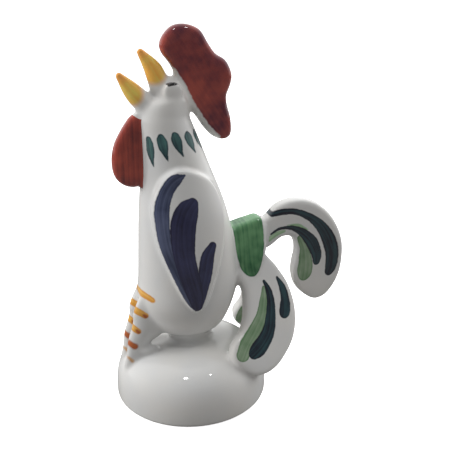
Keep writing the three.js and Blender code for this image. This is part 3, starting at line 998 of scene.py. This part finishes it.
def from_tail(x, rise):
    """A place and height from those counted from the root of the tail."""
    return tail_root[0] + x, tail_root[1] + rise


collar_form = lobe(
    "collar_form", [from_tail(*point) for point in collar_outline], collar_thickness, edge=2
)
collar_top = tail_root[1] + max(rise for x, rise in collar_outline)
collar_foot = tail_root[1] + min(rise for x, rise in collar_outline)
for vertex in collar_form.data.vertices:
    height = (vertex.co.z - crest.z) * 1000
    down = (collar_top - height) / (collar_top - collar_foot)
    vertex.co.y *= 1 + (collar_foot_thickness / collar_thickness - 1) * down

collar_strokes = [[(4.4, 34, 9.5), (4.9, 22, 9.3), (5, 12, 8.6), (5.2, 4, 6.4), (5.6, 1.5, 4.6)]]
# A paler green strip along the collar's top is painted light: the top face, lit from above
collar_lit_top_strokes = [[(-3, 29.6, 1.8), (15, 32.4, 1.8)]]
green_coat = {
    "marks": "leaf_green", "thin": "#659568", "full": "#2a613c", "blots": 0.6, "soft": 0.35,
}
painted_lit_top_coat = {"marks": "painted_lit_top", "thin": "#a8cfa4", "full": "#6fa873", "soft": 0.9}
brush([collar_form], "leaf_green", collar_strokes, side_view(*tail_root))
brush([collar_form], "painted_lit_top", collar_lit_top_strokes, side_view(*tail_root))
# Leaf green in one broad stroke, cloudy, inside a bare white rim. The paler green along the top is
# painted light, where the top face catches the lamps above
green_on_porcelain = painted("green_brushed_porcelain", green_coat, painted_lit_top_coat)
stand_in(collar_form, "tail_collar", green_on_porcelain)


# Upper plume
# One thick sickle feather in the middle plane, which curls over and in again.

upper_plume_thickness = 10.5
plume_edge = 2.4
upper_plume_outline = [
    (10.7, 22.2), (12.7, 26.7), (18.7, 29.2), (24, 34.7), (31, 37.7), (39.8, 38.3), (49.2, 35.5),
    (58.3, 28.5), (64.5, 20), (68.9, 9.4), (70, -0.8), (68.6, -12.8), (64.5, -22.1),
    (58.4, -28.5), (51.9, -29.9), (45.6, -26.4), (39.7, -20.2), (36.9, -11.8), (37, -3.8),
    (38.5, 4.2), (37.3, 11.2), (33.6, 15.2), (28.3, 15.4), (20.5, 10.2), (12.7, 8.2),
]
upper_plume_form = lobe(
    "upper_plume_form",
    [from_tail(*point) for point in upper_plume_outline],
    upper_plume_thickness,
    edge=plume_edge,
)
upper_plume_dark = [
    [
        (20.8, 30.6, 1.2), (26, 32, 1.9), (34.7, 31.7, 1.9), (44.4, 27.5, 2.3), (53.1, 20, 3.5),
        (58.8, 10.8, 4.6), (61.7, 1.3, 4.6), (61.3, -7.8, 4), (60.2, -11, 2.9),
    ],
    [
        (20.3, 18.9, 0.7), (25.4, 21.6, 0.9), (33.8, 21.3, 1.5), (41.5, 17, 2.8),
        (47.6, 9.8, 3.9), (51, 1.5, 3.4), (51.2, -3, 2.4),
    ],
]
upper_plume_green = [
    [(39.5, 14, 1.8), (42.5, 7, 2.8), (43.6, -1, 4.3), (43.6, -8, 5), (43.2, -11, 4)],
]
upper_plume_pale = [
    [(19, 15.5, 1.5), (24, 18.6, 1.4), (29, 19.8, 0.8)],
    [(31, 23, 0.6), (38, 22.4, 1), (44, 18.6, 0.7)],
]
dark_coat = {"marks": "dark_strokes", "thin": "#22434a", "full": "#0c1224", "streaks": 0.6}
light_green_coat = {"marks": "green_strokes", "thin": "#99ad92", "full": "#61825d"}
pale_coat = {"marks": "pale_strokes", "thin": "#bcd3b6", "full": "#90b58b", "soft": 0.6}
# Pale green washes first, then dark blue-green feathers whose thin ends show the brush's hairs
feathered_porcelain = painted(
    "blue_and_green_brushed_porcelain", pale_coat, light_green_coat, dark_coat
)
brush([upper_plume_form], "dark_strokes", upper_plume_dark, side_view(*tail_root))
brush([upper_plume_form], "green_strokes", upper_plume_green, side_view(*tail_root))
brush([upper_plume_form], "pale_strokes", upper_plume_pale, side_view(*tail_root))
stand_in(upper_plume_form, "tail_plume_upper", feathered_porcelain)


# Lower plumes
# A pair that parts under the collar and comes down on both sides of the mound. The right one
# is narrower and hangs further back.

lower_plume_thickness = 9.5
lower_plume_splay = math.radians(22)
lower_plume_twist = math.radians(11.5)
right_plume_swing = math.radians(16)
right_plume_width = 0.8
right_plume_forward = 4
parting = (*from_tail(15.2, 12), 0.5)
lower_plume_outline = [
    (-7, 0), (-2, -2.6), (2.6, -9.3), (7.2, -16.3), (12.3, -27), (14.3, -39.2), (13.3, -50.3),
    (8.9, -60.8), (2.2, -68.4), (-6.3, -74.6), (-15.2, -76.9), (-23.3, -75.4), (-29.7, -70.4),
    (-33.4, -63.9), (-33.5, -57.9), (-30.5, -53.3), (-25, -48.7), (-20.8, -41.8),
    (-18.6, -33.3), (-17.8, -25.4), (-20.5, -16), (-17, -5),
]


def plume_slope(side):
    """Where a lower plume's drawing plane stands: splayed out, twisted in and swung back."""
    x, height, y = parting
    forward, swing = (right_plume_forward, right_plume_swing) if side > 0 else (0, 0)
    return (
        Matrix.Translation(place(x - forward, side * y, height))
        @ Matrix.Rotation(-side * lower_plume_twist, 4, "Z")
        @ Matrix.Rotation(side * lower_plume_splay, 4, "X")
        @ Matrix.Rotation(-swing, 4, "Y")
        @ Matrix.Translation(-crest)
    )


def slope_view(side):
    """The drawing plane of a lower plume, on its own slope."""
    width = right_plume_width if side > 0 else 1
    back_to_plane = np.array(plume_slope(side).inverted())

    def plane(places):
        standing = places / 1000 + np.array(crest)
        flat = standing @ back_to_plane[:3, :3].T + back_to_plane[:3, 3]
        return (flat[:, [0, 2]] - np.array(crest)[[0, 2]]) * 1000 / (width, 1)

    return plane


lower_plume_dark = [
    [
        (-5.1, -22.5, 1), (-3.2, -28, 2), (-3, -35, 2.7), (-5, -44, 3.5), (-8.2, -52, 4.3),
        (-12.5, -57, 4.8), (-17.5, -60.8, 5), (-20.5, -62.4, 3.8),
    ],
    [(4.4, -22, 0.8), (6.8, -29, 2.4), (7.1, -36.5, 3.2), (5.6, -42.5, 4), (5, -44, 3.6)],
]
lower_plume_green = [[
    (-6, -26, 1.2), (-7.4, -33, 2.8), (-10.8, -42, 3.8), (-17.5, -50, 4.4), (-24.5, -57, 4.8),
    (-27.8, -61.5, 4.2),
]]
lower_plume_forms = {}
for suffix, side in (("left", -1), ("right", 1)):
    width = right_plume_width if side > 0 else 1
    outline = [(x * width, rise) for x, rise in lower_plume_outline]
    form = lobe(f"lower_plume_{suffix}_form", outline, lower_plume_thickness, edge=plume_edge)
    form.data.transform(plume_slope(side))
    node = f"tail_plume_lower_{suffix}"
    lower_plume_forms[node] = form
    brush([form], "dark_strokes", lower_plume_dark, slope_view(side))
    brush([form], "green_strokes", lower_plume_green, slope_view(side))
    stand_in(form, node, feathered_porcelain)


# Luting
# The pieces are stuck together with slip, wiped smooth and covered by one coat of glaze, so
# every joint is a soft fillet. The joined skin is made once, and then parted again into the
# pieces, which fit each other without a gap.

forms = {
    "base_mound": mound_form,
    "torso": torso_form,
    "head": head_form,
    **beak_forms,
    "comb": comb_form,
    "wattle": wattle_form,
    **eye_forms,
    **wing_forms,
    **leg_forms,
    **toe_forms,
    "tail_collar": collar_form,
    "tail_plume_upper": upper_plume_form,
    **lower_plume_forms,
}

# How far a joint's fillet reaches from the crease, where it isn't the usual reach
usual_reach = 3.6
reaches = {
    "base_mound": 2, "tail_collar": 1, "head": 6, "beak_upper": 6, "beak_lower": 6,
    "wing_left": 1.6, "wing_right": 1.6, "eye_left": 1.2, "eye_right": 1.2,
    "toe_front_left": 2, "toe_front_right": 2, "toe_hind_left": 2, "toe_hind_right": 2,
}
skin_grain = 0.0007


def joined(sources, name):
    """One object with copies of all the forms in it."""
    copies = [copy_of(source, name) for source in sources]
    select_only(*reversed(copies))
    bpy.ops.object.join()
    return bpy.context.object


def corners_of(mesh):
    """The places of all the mesh's corners, in metres."""
    corners = np.empty(len(mesh.vertices) * 3)
    mesh.vertices.foreach_get("co", corners)
    return corners.reshape(-1, 3)


skin = joined(forms.values(), "glazed_skin")
apply_modifier(skin, "REMESH", mode="VOXEL", voxel_size=skin_grain)

# Each point of the skin is softened by how close a second form comes to it
crease_passes = 45
skin_passes = 4
least_closeness = 0.02
creases = skin.vertex_groups.new(name="creases")
points = corners_of(skin.data)
closeness = np.zeros((len(forms), len(points)))
for row, (node, form) in enumerate(forms.items()):
    reach = reaches.get(node, usual_reach) / 1000
    surface = BVHTree.FromObject(form, bpy.context.evaluated_depsgraph_get())
    corners = corners_of(form.data)
    near = ((points > corners.min(0) - reach) & (points < corners.max(0) + reach)).all(1)
    for index in np.flatnonzero(near):
        gap = surface.find_nearest(points[index], reach)[3]
        closeness[row, index] = 1 - gap / reach if gap is not None else 0
second = np.sort(closeness, axis=0)[-2]
for index in np.flatnonzero(second > least_closeness):
    weight = second[index] * (2 - second[index])
    creases.add([int(index)], float(weight), "REPLACE")
apply_modifier(skin, "SMOOTH", factor=0.5, iterations=crease_passes, vertex_group="creases")
apply_modifier(skin, "SMOOTH", factor=0.5, iterations=skin_passes)

# What each piece takes of the skin: the room just round its own form, without the cores of the
# pieces that carry it and without what the pieces named before it have taken
usual_margin = 3
margins = {
    "torso": 5, "wing_left": 1.2, "wing_right": 1.2, "eye_left": 1, "eye_right": 1,
    "tail_collar": 2,
}
core_depth = 1.2
room_grain = 0.0012


def room_round(form, margin):
    """The form grown by a margin, or shrunk where that is negative."""
    room = copy_of(form, f"{form.name}_room")
    apply_modifier(room, "DISPLACE", mid_level=0, strength=margin / 1000)
    apply_modifier(room, "REMESH", mode="VOXEL", voxel_size=room_grain)
    return room


body_union = joined([torso_form, head_form], "body_union")
apply_modifier(body_union, "REMESH", mode="VOXEL", voxel_size=room_grain)
body_core = room_round(body_union, -core_depth)
mound_core = room_round(mound_form, -core_depth)
leg_cores = {node: room_round(form, -core_depth) for node, form in leg_forms.items()}


def block_between(low, high):
    """A block between two corners, in millimetres from the crest."""
    middle = (np.array(low) + np.array(high)) / 2
    bpy.ops.mesh.primitive_cube_add(size=0.001, location=place(*middle))
    block = bpy.context.object
    block.scale = np.array(high) - np.array(low)
    bpy.ops.object.transform_apply(location=True, rotation=False, scale=True)
    return block


far = 200
half_blocks = {
    "left": block_between((-far, -far, -far), (far, 0, far)),
    "right": block_between((-far, 0, -far), (far, far, far)),
}
above_neck = block_between((-far, -far, neck_rim[1]), (far, far, far))

rooms = {}


def take_room(node, *keep_out, within=None):
    """Gives a node its room. The head has all that is left above the neck rim."""
    if node == "head":
        room = above_neck
    else:
        room = room_round(forms[node], margins.get(node, usual_margin))
    if within:
        cut(room, within, "INTERSECT")
    for tool in keep_out:
        cut(room, tool)
    rooms[node] = room


for suffix in ("left", "right"):
    take_room(f"eye_{suffix}", body_core)
    take_room(f"wing_{suffix}", body_core)
eye_rooms = [rooms["eye_left"], rooms["eye_right"]]
take_room("beak_upper", body_core, *eye_rooms)
take_room("beak_lower", body_core, rooms["beak_upper"])
take_room("wattle", body_core, rooms["beak_lower"])
take_room("comb", body_core, rooms["beak_upper"], *eye_rooms)
take_room("tail_collar", body_core)
take_room("tail_plume_upper", body_core, rooms["tail_collar"])
tail_rooms = [rooms["tail_collar"], rooms["tail_plume_upper"]]
for suffix in ("left", "right"):
    half = half_blocks[suffix]
    toe_names = [f"toe_front_{suffix}", f"toe_hind_{suffix}"]
    for toe in toe_names:
        take_room(toe, body_core, mound_core, leg_cores[f"leg_{suffix}"], within=half)
    cut(rooms[toe_names[1]], rooms[toe_names[0]])
    toe_rooms = [rooms[toe] for toe in toe_names]
    take_room(f"leg_{suffix}", body_core, mound_core, *toe_rooms, within=half)
    take_room(f"tail_plume_lower_{suffix}", body_core, mound_core, *tail_rooms, within=half)
lower = [node for node in rooms if node.startswith(("toe", "leg", "tail_plume_lower"))]
take_room("base_mound", body_core, *(rooms[node] for node in lower))
upper = ("eye_left", "eye_right", "beak_upper", "beak_lower", "wattle", "comb")
take_room("head", *(rooms[node] for node in upper))
take_room("torso", *rooms.values())

weld = 0.00001
sliver_corners = 50


def drop_slivers(form):
    """Welds the edges that the cuts left too short, and deletes the slivers that they left loose
    beside the piece."""
    form.data.validate()
    select_only(form)
    bpy.ops.object.mode_set(mode="EDIT")
    bpy.ops.mesh.select_all(action="SELECT")
    bpy.ops.mesh.remove_doubles(threshold=weld)
    bpy.ops.mesh.dissolve_degenerate(threshold=weld)
    bpy.ops.mesh.select_mode(type="VERT")
    bpy.ops.mesh.select_all(action="DESELECT")
    bpy.ops.object.mode_set(mode="OBJECT")
    edges = np.empty(len(form.data.edges) * 2, int)
    form.data.edges.foreach_get("vertices", edges)
    starts, ends = edges.reshape(-1, 2).T
    # Each corner passes the lowest number that it knows on to its neighbours, until each loose
    # part has one number
    part = np.arange(len(form.data.vertices))
    before = None
    while not np.array_equal(part, before):
        before = part.copy()
        lower = np.minimum(part[starts], part[ends])
        np.minimum.at(part, starts, lower)
        np.minimum.at(part, ends, lower)
        part = part[part]
    small = np.bincount(part)[part] < sliver_corners
    form.data.vertices.foreach_set("select", small)
    bpy.ops.object.mode_set(mode="EDIT")
    bpy.ops.mesh.delete(type="VERT")
    bpy.ops.object.mode_set(mode="OBJECT")


# Each form takes the skin inside its room, kept within the frame's box. Where its surface is
# the skin's own, it takes the skin's normals too, so that the glaze mirrors evenly across seams.
sharp_angle = math.radians(40)
same_skin = 0.00005
skin.data.polygons.foreach_set("use_smooth", [True] * len(skin.data.polygons))
frame_low, frame_high = np.array(cad_box)
for node, form in forms.items():
    material = form.data.materials[0]
    form.data = skin.data.copy()
    form.data.materials.clear()
    form.data.materials.append(material)
    cut(form, rooms[node], "INTERSECT")
    if node in ("base_mound", "torso"):
        cut(form, mound_hollow if node == "base_mound" else torso_hollow)
        cut(form, pour_hole)
    drop_slivers(form)
    inside = np.clip(corners_of(form.data), frame_low, frame_high)
    form.data.vertices.foreach_set("co", inside.ravel())
    select_only(form)
    bpy.ops.object.shade_smooth_by_angle(angle=sharp_angle)
    apply_modifier(
        form,
        "DATA_TRANSFER",
        object=skin,
        use_loop_data=True,
        data_types_loops={"CUSTOM_NORMAL"},
        loop_mapping="POLYINTERP_NEAREST",
        use_max_distance=True,
        max_distance=same_skin,
    )

# The strokes are stored on the finished meshes, where the materials read them
for form, marks, strokes, plane in paintings:
    places = (corners_of(form.data) - np.array(crest)) * 1000
    stored = form.data.attributes.new(marks, "FLOAT_VECTOR", "POINT")
    stored.data.foreach_set("vector", stroke_field(plane(places), strokes).ravel())

helpers = [skin, body_union, body_core, mound_core, mound_hollow, pour_hole, torso_hollow]
helpers += [*leg_cores.values(), *half_blocks.values(), *rooms.values()]
for helper in helpers:
    bpy.data.objects.remove(helper)
